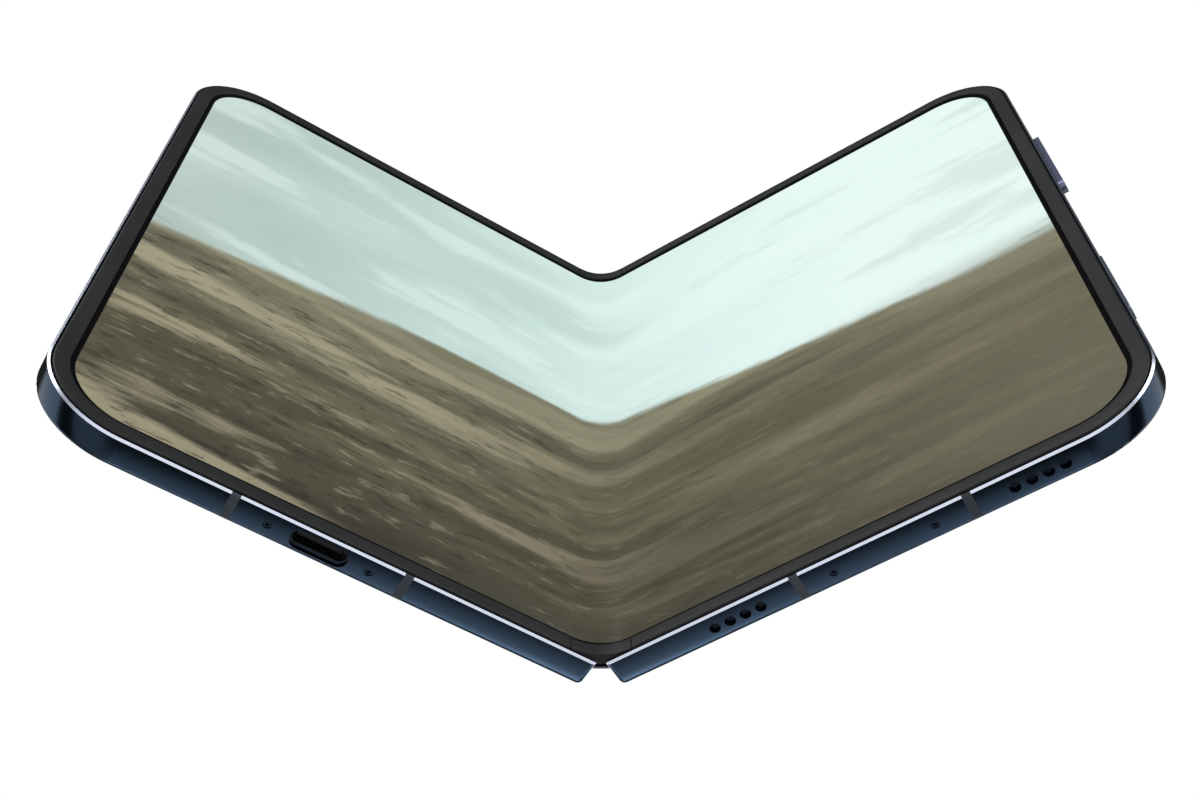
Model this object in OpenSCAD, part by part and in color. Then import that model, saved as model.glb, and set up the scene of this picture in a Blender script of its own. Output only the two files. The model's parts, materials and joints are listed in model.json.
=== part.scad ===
// Foldable smartphone, half open, standing on its bottom edge.
// X runs across both halves, Y from the inner display to the back, Z up along the hinge.
// A half is drawn flat: u runs out from its pivot line, v is the depth below the top
// of the rim and z goes up the hinge. right_side() and left_side() then fold it to rest.

/* [Overall] */
// Length along the hinge, which is the height of the standing phone
phone_h = 120; // [112:1:132]
// Width of one half, from its pivot line to its outer side
half_w = 83.6; // [80:0.2:92]
// Depth of one frame, from its front face to its back
half_t = 4.6; // [4.5:0.05:5.2]
// Outer corner radius of a half
corner_r = 13; // [9:0.5:15]
// How far each half is folded up from flat as the phone stands
rest_fold = 31; // [20:1:40]

/* [Frame] */
// Chamfer along the front edge of the frame
chamfer = 0.3; // [0.2:0.05:0.6]
// Radius of the frame's back edge, also round its ends at the hinge
back_r = 0.7; // [0.4:0.05:0.9]
// Width of the frame's rails
wall = 2.7; // [2.5:0.1:3.2]
// Width of the frame's back lip, outside the back glass
lip = 1.3; // [1.1:0.1:1.6]
// Thickness of the mid-plate that closes the frame under the display
mid_t = 0.5; // [0.4:0.05:0.6]
// Space between the display's support plate and the mid-plate
floor_gap = 0.05; // [0.02:0.01:0.1]
// Radius of the frame's back corner at the hinge
end_r = 0.9; // [0.9:0.05:1.1]
// Thickness of the back glass and the cover glass
glass_t = 0.55; // [0.4:0.05:0.6]
// Gap round a pane of glass
glass_gap = 0.05; // [0.03:0.01:0.1]
// Width of an antenna break
break_w = 1.3; // [0.8:0.1:1.8]
// Depth of an antenna break into the rail
break_depth = 2.1; // [1.5:0.1:2.3]
// Distance from the port's middle in to the inner antenna breaks
break_in = 12.45; // [11:0.05:14]
// Distance from the port's middle out to the outer antenna breaks
break_out = 12.9; // [11:0.05:14]

/* [Rim and display] */
// How far the rim stands proud of the frame
rim_proud = 0.3; // [0.15:0.05:0.35]
// Width of the rim
rim_w = 2.3; // [2:0.1:2.8]
// Width of the groove between the frame and the rim
groove = 0.3; // [0.1:0.05:0.3]
// Width of the rim's deep foot, which stands on the frame
rim_foot_w = 1.7; // [1.4:0.1:1.8]
// Depth of the display's surface below the top of the rim
screen_recess = 0.4; // [0.35:0.05:0.5]
// Thickness of the display
screen_t = 0.3; // [0.2:0.05:0.35]
// Thickness of the display's metal backing
backing_t = 0.15; // [0.1:0.01:0.2]
// Gap round the display, inside the rim's foot
screen_gap = 0.1; // [0.05:0.01:0.15]
// Reach of the display's fold on each side of the spine, from the pivot line
flex_u = 4.0; // [3.4:0.1:4.1]
// Distance from the pivot line to the start of a rim
rim_start_u = 4.35; // [4.25:0.05:4.6]
// Thickness of the soft fold caps
cap_t = 0.36; // [0.3:0.02:0.38]
// Depth of the fold caps' foot below the top of the rim
cap_foot = 1.2; // [1:0.05:1.4]

/* [Hinge] */
// Distance of a pivot line from the middle of the spine
pivot_x = 0.75; // [0.72:0.01:0.85]
// Depth of the pivot lines below the top of the rim
pivot_v = 0.55; // [0.5:0.01:0.6]
// End of a frame's rails at the hinge, from the pivot line
end_u = -0.05; // [-0.1:0.01:0.1]
// Outer radius of the spine cover about each pivot line
spine_r = 2.95; // [2.93:0.01:3.02]
// Thickness of the spine cover
spine_t = 0.35; // [0.32:0.01:0.36]
// Running gap round the spine cover
pocket_gap = 0.1; // [0.08:0.01:0.15]
// Gap between the rails and the ends of the spine cover
spine_end_gap = 0.3; // [0.2:0.05:0.5]
// Height of the spine cover's lips above the pivot lines
lip_rise = 0.3; // [0.25:0.05:0.4]
// Distance between the hinge brackets
hinge_pitch = 42; // [38:1:45]
// Width of a hinge arm along the hinge
arm_w = 5; // [4:0.2:5.6]
// Inner radius of an arm's curved shoe
shoe_r0 = 2.05; // [2.03:0.01:2.08]
// Outer radius of an arm's curved shoe
shoe_r1 = 2.5; // [2.45:0.01:2.52]
// Running gap inside a shoe, round the bracket's drum
drum_gap = 0.05; // [0.02:0.01:0.08]
// Gap beside an arm
arm_gap = 0.1; // [0.05:0.01:0.2]
// Thickness of an arm's pad and bar
pad_t = 0.55; // [0.5:0.05:0.6]
// Length of an arm's pad along the hinge
pad_l = 9; // [8.6:0.2:10]
// Outer end of an arm's pad, from the pivot line
pad_u = 9.6; // [9:0.1:10.2]
// Start of the mid-plate, from the pivot line
mid_u = 4.4; // [4.3:0.05:4.6]
// Outer side of the frame's hinge bar, from the pivot line
bar_u = 5.6; // [5.2:0.1:6]

/* [Synchronising gears] */
// Teeth on a pinion
pinion_teeth = 8; // [8:8]
// Teeth that a full ring would have
ring_teeth = 35; // [35:35]
// Tooth module, the pitch diameter for one tooth
tooth_m = 0.1175; // [0.1175:0.0005:0.1180]
// Thickness of the toothed sectors
sector_w = 1.2; // [1:0.1:1.4]
// Length of the zone where the pinions mesh with each other
mesh_w = 1.4; // [1.2:0.1:1.8]
// Radius of a gear axle
axle_r = 0.15; // [0.12:0.01:0.16]
// Running gap between an axle and its pinion
axle_gap = 0.03; // [0.02:0.01:0.04]

/* [Ports and keys] */
// Distance of the port's middle from the pivot line
port_u = 41.4; // [40:0.1:44]
// Width of the port's opening
port_w = 8.5; // [8.4:0.05:8.9]
// Height of the port's opening
port_h = 3.0; // [2.7:0.05:3.1]
// Outer width of the port's shell
shell_w = 8.94; // [8.9:0.02:9]
// Outer height of the port's shell
shell_h = 3.2; // [3.1:0.02:3.2]
// Inner width of the port's shell
shell_inner_w = 8.34; // [8.3:0.02:8.4]
// Inner height of the port's shell
shell_inner_h = 2.56; // [2.5:0.02:2.6]
// Depth of the port's shell into the phone
shell_l = 6.4; // [6:0.1:7]
// Thickness of the rail in front of the port's shell
port_wall = 1; // [0.8:0.1:1.2]
// Radius of a speaker hole
speaker_r = 0.8; // [0.6:0.05:0.85]
// Distance between speaker holes
speaker_pitch = 2.35; // [2:0.05:2.5]
// Distance from the last inner speaker hole to the inner antenna break
speaker_in = 5.95; // [4:0.05:7]
// Distance from the outer antenna break to the first outer speaker hole
speaker_out = 6; // [4:0.05:7]
// Distance from the port's middle in to the inner case screw
screw_in = 7.4; // [6.5:0.1:8.5]
// Distance from the port's middle out to the outer case screw
screw_out = 7.5; // [6.5:0.1:8.5]
// Radius of a case screw's head
screw_r = 0.55; // [0.45:0.05:0.7]
// Length of the side key
side_key_l = 20.3; // [18:0.1:22]
// Height of the side key's middle
side_key_z = 78; // [76:0.5:84]
// How far the side key stands proud
side_key_proud = 1.0; // [0.4:0.1:1.2]
// Length of the volume rocker
volume_key_l = 17.8; // [16:0.1:20]
// Height of the volume rocker's middle
volume_key_z = 33.7; // [30:0.1:38]
// How far the volume rocker stands proud
volume_key_proud = 0.27; // [0.2:0.01:0.5]
// Width of a key
key_w = 2.3; // [1.8:0.1:2.4]
// Gap round a key
key_gap = 0.12; // [0.1:0.01:0.2]
// Travel of a pressed key
key_travel = 0.25; // [0.15:0.05:0.3]

/* [Camera plateau] */
// Side of the square camera plateau
plateau_w = 32; // [28:1:34]
// Corner radius of the camera plateau
plateau_r = 9; // [6:0.5:10]
// How far the plateau stands off the rear glass
plateau_t = 1.4; // [1:0.1:1.8]
// Distance of the plateau's middle from the outer side of the phone
plateau_side = 21.6; // [20:0.1:24]
// Distance of the plateau's middle below the top of the phone
plateau_drop = 21; // [20:0.5:24]
// Distance between the lenses
lens_pitch = 15; // [14:0.5:15.5]
// Radius of a lens glass
lens_r = 4.6; // [4:0.1:4.8]
// Width of a lens ring
lens_ring_w = 0.9; // [0.6:0.1:1]
// Height of a lens ring above the plateau
lens_ring_h = 0.45; // [0.3:0.05:0.6]
// Radius of the flash window
flash_r = 2; // [1.5:0.1:2.5]
// Distance of the cover camera from the pivot line
cover_camera_u = 45; // [42:0.5:48]
// Distance of the cover camera below the top of the phone
cover_camera_drop = 7.5; // [7:0.1:9]
// Radius of the cover camera
cover_camera_r = 2.3; // [2:0.1:2.5]

/* [Inside] */
// Start of the batteries, from the pivot line
battery_u0 = 12; // [11:0.5:16]
// Gap between a battery and the outer rail
battery_side = 1.9; // [1:0.1:4]
// Gap between a battery and its neighbours along the hinge
battery_gap = 2; // [1:0.5:4]
// Height of the boards and boxes along the bottom edge
low_parts_z = 20; // [18:0.5:24]
// Depth of the parts along the top edge, below the top of the phone
top_parts_drop = 12.5; // [12:0.5:15]
// Gap between the parts along an edge and the rail
rail_gap = 1.3; // [0.5:0.1:2]
// Thickness of a circuit board
board_t = 0.7; // [0.5:0.05:0.8]
// Height of the shields on the main board
shield_t = 1.1; // [0.8:0.05:1.2]
// Gap round a shield, on the main board
shield_gap = 2; // [1:0.5:3]
// Outer radius of the charging coil
coil_r = 20; // [16:1:22]
// Inner radius of the charging coil
coil_r0 = 11; // [8:1:13]
// Thickness of the charging coil
coil_t = 0.15; // [0.1:0.01:0.2]
// Width of the haptic motor
haptic_w = 12; // [9:0.5:12]
// Width of the earpiece
earpiece_w = 14; // [10:0.5:15]
// Thickness of the cover display panel
panel_t = 0.35; // [0.25:0.05:0.4]
// Reach of the charging board from the port's middle towards the hinge
charging_board_in = 15.4; // [10:0.1:18]
// Reach of the charging board from the port's middle towards the outer side
charging_board_out = 13.6; // [10:0.1:16]
// Distance of the haptic motor from the outer rail
haptic_side = 4.9; // [4:0.1:6]
// Gap round the cover camera, to the parts beside it
camera_gap = 0.7; // [0.4:0.1:1.5]
// Width of the flex cable that crosses the hinge
flex_w = 16; // [10:1:18]
// Corner radius of the batteries and the larger inside parts
part_r = 2; // [1:0.5:3]
// Corner radius of the boards and the speaker boxes
board_r = 1; // [0.5:0.5:2]

/* [Hidden] */
$fn = 64;
v_face = rim_proud;
v_back = v_face + half_t;
v_glass = v_back - glass_t;
v_screen = screen_recess;
v_backing = v_screen + screen_t;
v_floor = v_backing + backing_t + floor_gap;
v_mid = v_floor + mid_t;
v_middle = (v_face + v_back) / 2;
rim_out = chamfer + groove;
rim_in = rim_out + rim_w;
screen_in = rim_out + rim_foot_w + screen_gap;
lip_gap = 0.04;
screen_v0 = v_screen - lip_gap;
inner_gap = 0.05;
eps = 0.01;
far = 10;
close_fit = 0.02;

spine_z0 = wall + spine_end_gap;
spine_z1 = phone_h - spine_z0;
spine_in_r = spine_r - spine_t;
pocket_r = spine_r + pocket_gap;
bracket_sink = 0.15;
bracket_y = lip_rise + bracket_sink;
bracket_r = spine_in_r - close_fit;
arm_z0 = 0.6;
bracket_wall = 1.6;
bracket_half = arm_z0 + arm_w + arm_gap + bracket_wall;
bracket_screw_r = 0.5;
bracket_screw_head_t = 0.35;
bracket_screw_l = 1.8;
end_cap_in = 0.3;
end_cap_t = 1;
drum_r = shoe_r0 - drum_gap;
bar_v0 = v_floor + 0.15;
bar_v1 = bar_v0 + pad_t - inner_gap;
bar_root_u = 2;
bar_root_step = 0.25;
bar_neck_u0 = mid_u - 1.1;
bar_neck_u1 = mid_u - 0.5;
bar_end_u = mid_u + 0.6;
pad_u0 = mid_u + 0.3;
arm_window_u = 2.5;
arm_window_gap = 0.2;
lip_window_u = 1.5;
lip_window_w = 3;
window_y = bar_v0 + pad_t - pivot_v + arm_gap;
cap_end_u = rim_start_u - 0.15;
cap_v0 = close_fit;
cap_pocket_v = 1.6;
cap_wall = rim_out - 2 * inner_gap;
plate_in = 1;
bar_in = 0.5;
middle_z = phone_h / 2;
sync_z = middle_z - hinge_pitch / 2;
HINGE_Z = [middle_z - hinge_pitch, middle_z, middle_z + hinge_pitch];
arm_screw_r = 0.5;
arm_screw_in = 2.2;
arm_screw_u = pad_u - arm_screw_in;
arm_screw_z = [arm_screw_in, pad_l - arm_screw_in];
arm_screw_head_r = 0.95;
arm_screw_head_t = 0.4;
shoe_a0 = 14;
shoe_a1 = 150;

// The display's arc from half to half. Depth v lies at radius v - arc_v about its middle.
fold_steps = 12;
arc_v = pivot_v - (pivot_x + flex_u * cos(rest_fold)) / sin(rest_fold);
flex_t = 0.08;
flex_v = v_floor - floor_gap + close_fit;

pinion_r = tooth_m * pinion_teeth / 2;
ring_r = tooth_m * ring_teeth / 2;
tooth_add = 0.8 * tooth_m;
tooth_ded = tooth_m;
tooth_half = 0.073;
tooth_foot = 0.03;
tooth_taper = 0.034;
half_pitch = 180 / pinion_teeth;
sector_r1 = shoe_r1 - 0.08;
sector_z1 = mesh_w / 2 + sector_w + arm_gap + inner_gap;
pinion_y = sqrt(pow(ring_r - pinion_r, 2) - pow(3 * pinion_r - pivot_x, 2));
mesh_angle = atan2(pinion_y, 3 * pinion_r - pivot_x);
plate_z = mesh_w / 2 + sector_w + 0.2;
plate_t = 0.8;

// Along the bottom edge
break_u = [port_u - break_in, port_u + break_out];
screw_u = [port_u - screw_in, port_u + screw_out];
screw_v = v_middle;
screw_z0 = 0.12;
screw_head_t = 0.45;
screw_tip_gap = 0.2;
speaker_row = 3 * speaker_pitch;
SPEAKER_U = [break_u[0] - speaker_in - speaker_row, break_u[1] + speaker_out];
mesh_z0 = 1.2;
mesh_t = 0.15;
mesh_h = 2.2;
mesh_margin = 1.3;
speaker_box_margin = 3;
tongue_w = 6.69;
tongue_t = 0.7;

// Keys, by their distance in from the outer side
key_wall = 1.0;
flange_t0 = 1.25;
flange_t = 0.3;
flange_over = 0.5;
flange_t1 = flange_t0 + flange_t;
rock_r = 0.4;
rock_web = 1.2;
key_switch_t0 = flange_t1 + key_travel + inner_gap;
key_switch_t1 = wall + 0.6;
key_switch_w = 2.2;
key_room = 1;
switch_r = 0.2;
side_switch_l = 6;
volume_switch_l = 3;

// Camera plateau and cover
plateau_u = half_w - plateau_side;
plateau_z = phone_h - plateau_drop;
LENSES = [[-1, 1], [-1, -1], [1, -1]];
flash_u = plateau_u + lens_pitch / 2;
flash_z = plateau_z + lens_pitch / 2;
flash_t = 0.6;
lens_sink = 0.3;
lens_set = 0.15;
v_plateau = v_back + plateau_t;
module_half = lens_r + 0.7;
module_gap = 0.3;
barrel_r = lens_r - 0.5;
cover_camera_z = phone_h - cover_camera_drop;
panel_gap = 0.3;
shield_r = 0.6;
panel_u0 = bar_u + 1.4;
panel_port_gap = 0.5;

// Inside parts
v_parts = v_mid + inner_gap;
battery_room = 0.1;
battery_u1 = half_w - wall - battery_side;
board_u0 = battery_u0 - 1;
board_gap = 0.2;
board_z0 = plateau_z - plateau_w / 2;
battery_z0 = low_parts_z + battery_gap;
left_battery_z1 = phone_h - top_parts_drop - battery_gap;
right_battery_z1 = board_z0 - battery_gap;
left_battery_v1 = v_glass - panel_t - battery_room;
right_battery_v1 = v_glass - coil_t - battery_room;
earpiece_u0 = cover_camera_u + cover_camera_r + camera_gap;
shield_u1 = plateau_u - plateau_w / 2 - shield_gap / 2;

// The phone's box is centred on Y: its nearest point is the rim's outer corner and its
// furthest is the frame's rounded back corner beside the hinge.
near_y = (half_w - rim_out) * sin(rest_fold) + pivot_v * cos(rest_fold);
far_y = (v_back - end_r - pivot_v) * cos(rest_fold) - (end_u + end_r) * sin(rest_fold) + end_r;
pivot_y = (near_y - far_y) / 2;
arc_y = pivot_y - flex_u * sin(rest_fold) + (arc_v - pivot_v) * cos(rest_fold);

FRAME = [0.16, 0.24, 0.33];
METAL = [0.72, 0.74, 0.78];
RIM = [0.16, 0.16, 0.17];
SCREEN = [0.66, 0.76, 0.74];
GLASS = [0.10, 0.16, 0.23];
BOARD = [0.10, 0.30, 0.20];
BATTERY = [0.12, 0.12, 0.13];
GOLD = [0.80, 0.62, 0.30];

// Placing

module right_side()
    translate([pivot_x, pivot_y, 0]) rotate([0, 0, -rest_fold]) translate([0, -pivot_v, 0]) children();

module left_side() mirror([1, 0, 0]) right_side() children();

module side(dir) {
    if (dir > 0) right_side() children();
    else left_side() children();
}

// A 2D outline in (u, z), raised from depth v0 to v1
module raise(v0, v1) translate([0, v1, 0]) rotate([90, 0, 0]) linear_extrude(v1 - v0) children();

// Shapes

module rounded(w, h, r) {
    square([w - 2 * r, h], center = true);
    square([w, h - 2 * r], center = true);
    for (x = [-1, 1], y = [-1, 1]) translate([x * (w / 2 - r), y * (h / 2 - r)]) circle(r);
}

module tile(u0, u1, z0, z1, v0, v1, r = 1)
    raise(v0, v1) translate([(u0 + u1) / 2, (z0 + z1) / 2]) rounded(u1 - u0, z1 - z0, r);

// The half's outline, set in by inset, from u0 out to the rounded corners
module half_outline(inset, u0) {
    edge_u = half_w - corner_r;
    translate([u0, inset]) square([edge_u - u0, phone_h - 2 * inset]);
    translate([edge_u - 1, corner_r]) square([corner_r + 1 - inset, phone_h - 2 * corner_r]);
    for (z = [corner_r, phone_h - corner_r]) translate([edge_u, z]) circle(corner_r - inset);
}

module slab(inset, v0, v1, u0) raise(v0, v1) half_outline(inset, u0);

// A rail's section, drawn as [distance in from the edge, v], run round the three outer edges
module edge_run(u0) {
    edge_u = half_w - corner_r;
    translate([edge_u, 0, 0]) rotate([0, -90, 0]) linear_extrude(edge_u - u0) children();
    translate([u0, 0, phone_h]) rotate([0, 90, 0]) linear_extrude(edge_u - u0) children();
    translate([half_w, 0, phone_h - corner_r]) rotate([0, 180, 0])
        linear_extrude(phone_h - 2 * corner_r) children();
    translate([edge_u, 0, corner_r]) rotate([-90, 0, 0])
        rotate_extrude(angle = 90) translate([corner_r, 0]) mirror([1, 0]) children();
    translate([edge_u, 0, phone_h - corner_r]) rotate([-90, 0, 0]) rotate([0, 0, -90])
        rotate_extrude(angle = 90) translate([corner_r, 0]) mirror([1, 0]) children();
}

// What lies outside a corner at the origin that is rounded with radius r
module corner_cut(r) difference() {
    translate([-1, -1]) square(1 + r);
    translate([r, r]) circle(r);
}

module band_section() difference() {
    polygon([[chamfer, v_face], [0, v_face + chamfer], [0, v_back], [lip, v_back],
             [lip, v_glass], [wall, v_glass], [wall, v_floor], [chamfer, v_floor]]);
    translate([0, v_back]) mirror([0, 1]) corner_cut(back_r);
}

module rim_section() {
    bevel = 0.12;
    polygon([[rim_out + bevel, 0], [rim_out, bevel], [rim_out, v_floor],
             [rim_out + rim_foot_w, v_floor], [rim_out + rim_foot_w, screen_v0],
             [rim_in, screen_v0], [rim_in, bevel], [rim_in - bevel, 0]]);
}

// A pill standing on the bottom edge: its long way along u, its depth up z
module slot_prism(w, h, z0, z1) {
    for (x = [-1, 1]) translate([x * (w - h) / 2, v_middle, z0]) cylinder(r = h / 2, h = z1 - z0);
    translate([-(w - h) / 2, v_middle - h / 2, z0]) cube([w - h, h, z1 - z0]);
}

// Puts what is drawn from the bottom edge there (top = 0), or at the top edge (top = 1)
module at_end(top) translate([0, 0, top * phone_h]) mirror([0, 0, top]) children();

// A pill on the outer side: its long way along z, from t0 to t1 in from the side
module key_prism(l, w, t0, t1) translate([half_w - t1, v_middle, 0]) {
    for (z = [-1, 1]) translate([0, 0, z * (l - w) / 2]) rotate([0, 90, 0])
        cylinder(r = w / 2, h = t1 - t0);
    translate([0, -w / 2, -(l - w) / 2]) cube([t1 - t0, w, l - w]);
}

// Frames

// Each hinge arm of one half: dir is 1 for the right half, -1 for the left
module at_arms(dir) for (z = HINGE_Z) translate([0, 0, z]) mirror([0, 0, dir > 0 ? 0 : 1]) children();

module at_sector(dir) translate([0, 0, sync_z]) mirror([0, 0, dir > 0 ? 0 : 1]) children();

// The window for an arm: behind the mid-plate for its pad and screws, through it for its bar
module arm_window(z0, bar_w) {
    gap = arm_window_gap;
    u1 = pad_u + gap;
    translate([arm_window_u, v_mid, z0 - gap])
        cube([u1 - arm_window_u, pad_t + gap, pad_l + 2 * gap]);
    translate([arm_window_u, v_floor, z0 - gap])
        cube([mid_u - arm_window_u, v_mid - v_floor + 2 * gap, bar_w + 2 * gap]);
    translate([mid_u, v_mid + pad_t, z0 - gap])
        cube([u1 - mid_u, arm_screw_head_t + gap, pad_l + 2 * gap]);
}

module arm_screw_bores(z0) for (z = arm_screw_z)
    translate([arm_screw_u, v_floor + inner_gap, z0 + z]) rotate([-90, 0, 0])
        cylinder(r = arm_screw_r, h = mid_t + 2 * pad_t);

// The room in the rails for the fold caps
module fold_recess() for (top = [0, 1]) at_end(top) translate([end_u - 1, -eps, cap_wall])
    cube([mid_u - end_u + 1, cap_pocket_v, wall - cap_wall + eps]);

// What is cut from the rails' ends at the hinge: the back corner is rounded, and so is the
// edge of the bottom and the top face, all the way round to the front
module end_cut() {
    side_v = v_back - end_r;
    translate([end_u, v_back, -1]) linear_extrude(phone_h + 2) mirror([0, 1]) corner_cut(end_r);
    for (top = [0, 1]) at_end(top) {
        raise(-1, side_v) translate([end_u, 0]) corner_cut(back_r);
        translate([end_u + end_r, side_v, 0]) rotate([0, 0, 90])
            rotate_extrude(angle = 90) translate([end_r, 0]) mirror([1, 0]) corner_cut(back_r);
    }
}

module frame_blank(dir) difference() {
    union() {
        edge_run(end_u) band_section();
        slab(plate_in, v_floor, v_mid, mid_u);
        translate([end_u, v_mid - 0.1, wall - bar_in])
            cube([bar_u - end_u, v_back - v_mid + 0.1, phone_h - 2 * (wall - bar_in)]);
    }
    translate([0, pivot_v, wall]) cylinder(r = pocket_r, h = phone_h - 2 * wall);
    fold_recess();
    end_cut();
    for (u = break_u, top = [0, 1]) break_cut(u, top);
    for (u = screw_u) case_screw(u, inner_gap);
    at_arms(dir) {
        arm_window(arm_z0, arm_w);
        arm_screw_bores(arm_z0);
    }
    at_sector(dir) {
        arm_window(mesh_w / 2 + arm_gap, sector_w);
        arm_screw_bores(mesh_w / 2 + arm_gap);
    }
}

// The cut for an antenna break through the bottom rail (top = 0) or the top rail (top = 1)
module break_cut(u, top) at_end(top) translate([u - break_w / 2, v_face - 1, -1])
    cube([break_w, half_t + 2, break_depth + 1]);

module antenna_breaks() for (u = break_u) {
    translate([u + break_w / 2, 0, 0]) rotate([0, -90, 0]) linear_extrude(break_w) break_section();
    translate([u - break_w / 2, 0, phone_h]) rotate([0, 90, 0]) linear_extrude(break_w) break_section();
}

module break_section() intersection() {
    band_section();
    square([break_depth, v_back + 1]);
}

// A case screw, or with a gap its hole, which is open below
module case_screw(u, gap = 0) translate([u, screw_v, 0]) {
    head_z1 = screw_z0 + screw_head_t;
    translate([0, 0, gap > 0 ? -1 : screw_z0])
        cylinder(r = screw_r + gap, h = gap > 0 ? 1 + head_z1 + gap / 2 : screw_head_t);
    translate([0, 0, screw_z0 + screw_head_t - 0.1])
        cylinder(r = screw_r * 0.6 + gap, h = wall - screw_tip_gap - head_z1 + 0.1);
}

module case_screws() for (u = screw_u) case_screw(u);

module left_frame() color(FRAME) left_side() difference() {
    frame_blank(-1);
    translate([port_u, 0, 0]) {
        slot_prism(port_w, port_h, -1, port_wall + eps);
        slot_prism(shell_w + 2 * inner_gap, shell_h + 2 * inner_gap, port_wall,
                   port_wall + shell_l + board_gap);
    }
}

module right_frame() color(FRAME) right_side() difference() {
    frame_blank(1);
    for (start = SPEAKER_U) {
        for (k = [0:3]) translate([start + k * speaker_pitch, v_middle, -1])
            cylinder(r = speaker_r, h = 1 + mesh_z0 + eps);
        translate([start - mesh_margin, v_middle - mesh_h / 2, mesh_z0])
            cube([speaker_row + 2 * mesh_margin, mesh_h, wall]);
    }
    key_opening(side_key_l, side_key_z);
    difference() {
        key_opening(volume_key_l, volume_key_z);
        rock_seat();
    }
}

// The web in the rail that the volume rocker's rib rocks on
module rock_seat() translate([half_w - wall - key_room, v_floor, volume_key_z - rock_web / 2])
    cube([wall - flange_t1 - rock_r - inner_gap + key_room, half_t, rock_web]);

module key_opening(l, z) translate([0, 0, z]) {
    key_prism(l + 2 * key_gap, key_w + 2 * key_gap, -2, key_wall + eps);
    translate([half_w - wall - eps, v_middle - key_w / 2 - flange_over / 2 - key_gap, -l / 2 - key_room])
        cube([wall - key_wall + eps, key_w + flange_over + 2 * key_gap, l + 2 * key_room]);
}

module key(l, z, proud) translate([0, 0, z]) {
    key_prism(l, key_w, -proud, flange_t0);
    translate([half_w - flange_t1, v_middle - key_w / 2 - flange_over / 2, -l / 2 - flange_over])
        cube([flange_t, key_w + flange_over, l + 2 * flange_over]);
}

module key_switch(z, l) tile(half_w - key_switch_t1, half_w - key_switch_t0, z - l / 2, z + l / 2,
                             v_middle - key_switch_w / 2, v_middle + key_switch_w / 2, switch_r);

module left_antenna_breaks() color([0.25, 0.27, 0.29]) left_side() antenna_breaks();
module right_antenna_breaks() color([0.25, 0.27, 0.29]) right_side() antenna_breaks();
module left_case_screws() color(METAL) left_side() case_screws();
module right_case_screws() color(METAL) right_side() case_screws();
module side_key() color(FRAME) right_side() key(side_key_l, side_key_z, side_key_proud);
module volume_rocker() color(FRAME) right_side() {
    key(volume_key_l, volume_key_z, volume_key_proud);
    translate([half_w - flange_t1, v_middle - key_w / 2, volume_key_z]) rotate([-90, 0, 0])
        cylinder(r = rock_r, h = key_w);
}
module side_key_switch() color(GOLD) right_side() key_switch(side_key_z, side_switch_l);

module volume_switches() color(GOLD) right_side()
    for (d = [-1, 1]) key_switch(volume_key_z + d * volume_key_l / 3, volume_switch_l);

// Rims and displays

module left_rim() color(RIM) left_side() edge_run(rim_start_u) rim_section();
module right_rim() color(RIM) right_side() edge_run(rim_start_u) rim_section();

module display_half(dir) side(dir) slab(screen_in, v_screen, v_backing, flex_u);
module left_display() color(SCREEN) display_half(-1);
module right_display() color(SCREEN) display_half(1);

module support_plate(dir) side(dir) slab(screen_in, v_backing, v_backing + backing_t, flex_u);
module left_support_plate() color(METAL) support_plate(-1);
module right_support_plate() color(METAL) support_plate(1);

// Points of the fold seen along the hinge, at depth v: on the arc, at angle a from its
// middle, or on the flat half to one side, dir
function arc_point(a, v) = [(v - arc_v) * sin(a), arc_y + (v - arc_v) * cos(a)];
function half_point(dir, u, v) = [
    dir * (pivot_x + u * cos(rest_fold) + (v - pivot_v) * sin(rest_fold)),
    pivot_y - u * sin(rest_fold) + (v - pivot_v) * cos(rest_fold)
];

// The fold's line towards side dir, with straight ends out to u1
function fold_line(dir, u1, v) = concat(
    u1 > flex_u ? [half_point(-dir, u1, v)] : [],
    [for (k = [-fold_steps:fold_steps]) arc_point(dir * k * rest_fold / fold_steps, v)],
    u1 > flex_u ? [half_point(dir, u1, v)] : []
);

module fold_strip(u1, v0, v1, z0, z1) translate([0, 0, z0]) linear_extrude(z1 - z0)
    polygon(concat(fold_line(1, u1, v0), fold_line(-1, u1, v1)));

module display_fold() color(SCREEN)
    fold_strip(flex_u, v_screen, v_backing, screen_in, phone_h - screen_in);
module display_fold_backing() color(METAL)
    fold_strip(flex_u, v_backing, v_backing + backing_t, screen_in, phone_h - screen_in);
module fold_caps() color(RIM) for (top = [0, 1]) at_end(top) difference() {
    fold_strip(cap_end_u, cap_v0, cap_foot, rim_out, rim_in);
    fold_strip(cap_end_u + 1, cap_v0 + cap_t, cap_foot + 1, rim_out + rim_foot_w, rim_in + 1);
}

module hinge_flex() color([0.75, 0.45, 0.12]) translate([0, 0, middle_z + hinge_pitch / 2])
    fold_strip(mid_u - arm_gap, flex_v, flex_v + flex_t, -flex_w / 2, flex_w / 2);

// Spine

// The spine's profile at radius r, above height y0 over the pivot lines
module spine_profile(r, y0) intersection() {
    union() {
        for (x = [-1, 1]) translate([x * pivot_x, 0]) circle(r);
        translate([-pivot_x, 0]) square([2 * pivot_x, r]);
    }
    translate([-2 * r, y0]) square([4 * r, 2 * r]);
}

module on_spine(z) translate([0, pivot_y, z]) children();

module spine_cover() color(FRAME) difference() {
    on_spine(spine_z0) linear_extrude(spine_z1 - spine_z0) difference() {
        spine_profile(spine_r, lip_rise);
        spine_profile(spine_in_r, lip_rise - 1);
    }
    for (dir = [-1, 1]) {
        on_spine(0) at_arms(dir) lip_window(dir, arm_z0, arm_w);
        on_spine(0) at_sector(dir) lip_window(dir, mesh_w / 2 + arm_gap, sector_w);
    }
}

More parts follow.
